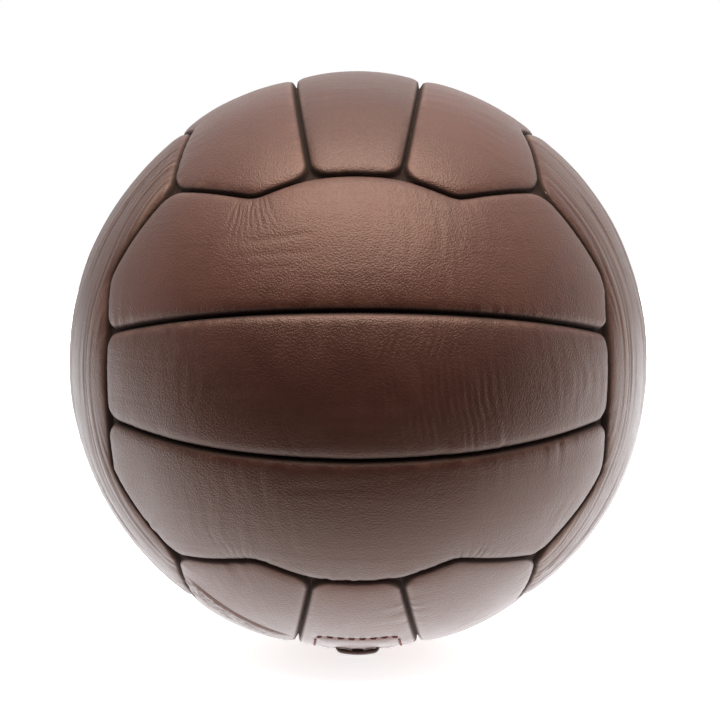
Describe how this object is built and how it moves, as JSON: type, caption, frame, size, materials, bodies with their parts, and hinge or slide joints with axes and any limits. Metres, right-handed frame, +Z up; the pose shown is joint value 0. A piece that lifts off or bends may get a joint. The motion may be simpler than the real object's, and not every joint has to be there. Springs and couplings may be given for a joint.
{
  "type": "laced leather football",
  "caption": "Round hand-sewn leather ball of long strips in six faces, standing on its lacing, with a cotton lining, a rubber bladder and a needle valve.",
  "frame": {"origin": "middle of the underside, where the ball stands on its lacing", "axes": "+Z up through the ball's centre and the valve opposite the lacing; the strips of the front face look along -Y and run along X; the lacing runs along Y"},
  "size_m": [0.22, 0.22, 0.2214],
  "materials": {
    "panel_leather": "semi-gloss, oiled, finely grained",
    "lace_leather": "matt, oiled thong",
    "tongue_leather": "matt split leather",
    "lining_cotton": "plain woven cotton",
    "seam_thread": "waxed linen",
    "stitching_thread": "waxed dark red linen",
    "bladder_rubber": "smooth red rubber",
    "valve_rubber": "smooth black rubber"
  },
  "bodies": {
    "root": {"back_edge_seam_thread": "seam_thread", "back_lower_lining": "lining_cotton", "back_lower_panel": "panel_leather", "back_middle_lining": "lining_cotton", "back_middle_panel": "panel_leather", "back_strip_seam_thread": "seam_thread", "back_upper_lining": "lining_cotton", "back_upper_panel": "panel_leather", "bladder": "bladder_rubber", "bottom_edge_seam_thread": "seam_thread", "bottom_left_lining": "lining_cotton", "bottom_left_panel": "panel_leather", "bottom_right_lining": "lining_cotton", "bottom_right_panel": "panel_leather", "bottom_strip_seam_thread": "seam_thread", "front_edge_seam_thread": "seam_thread", "front_lower_lining": "lining_cotton", "front_lower_panel": "panel_leather", "front_middle_lining": "lining_cotton", "front_middle_panel": "panel_leather", "front_strip_seam_thread": "seam_thread", "front_upper_lining": "lining_cotton", "front_upper_panel": "panel_leather", "lace": "lace_leather", "lace_lining": "lining_cotton", "lace_panel": "panel_leather", "lace_tongue": "tongue_leather", "left_back_lining": "lining_cotton", "left_back_panel": "panel_leather", "left_edge_seam_thread": "seam_thread", "left_front_lining": "lining_cotton", "left_front_panel": "panel_leather", "left_middle_lining": "lining_cotton", "left_middle_panel": "panel_leather", "left_strip_seam_thread": "seam_thread", "right_back_lining": "lining_cotton", "right_back_panel": "panel_leather", "right_edge_seam_thread": "seam_thread", "right_front_lining": "lining_cotton", "right_front_panel": "panel_leather", "right_middle_lining": "lining_cotton", "right_middle_panel": "panel_leather", "right_strip_seam_thread": "seam_thread", "tongue_stitching": "stitching_thread", "top_edge_seam_thread": "seam_thread", "top_left_lining": "lining_cotton", "top_left_panel": "panel_leather", "top_middle_lining": "lining_cotton", "top_middle_panel": "panel_leather", "top_right_lining": "lining_cotton", "top_right_panel": "panel_leather", "top_strip_seam_thread": "seam_thread", "valve_body": "valve_rubber", "valve_plug": "valve_rubber"}
  },
  "joints": []
}
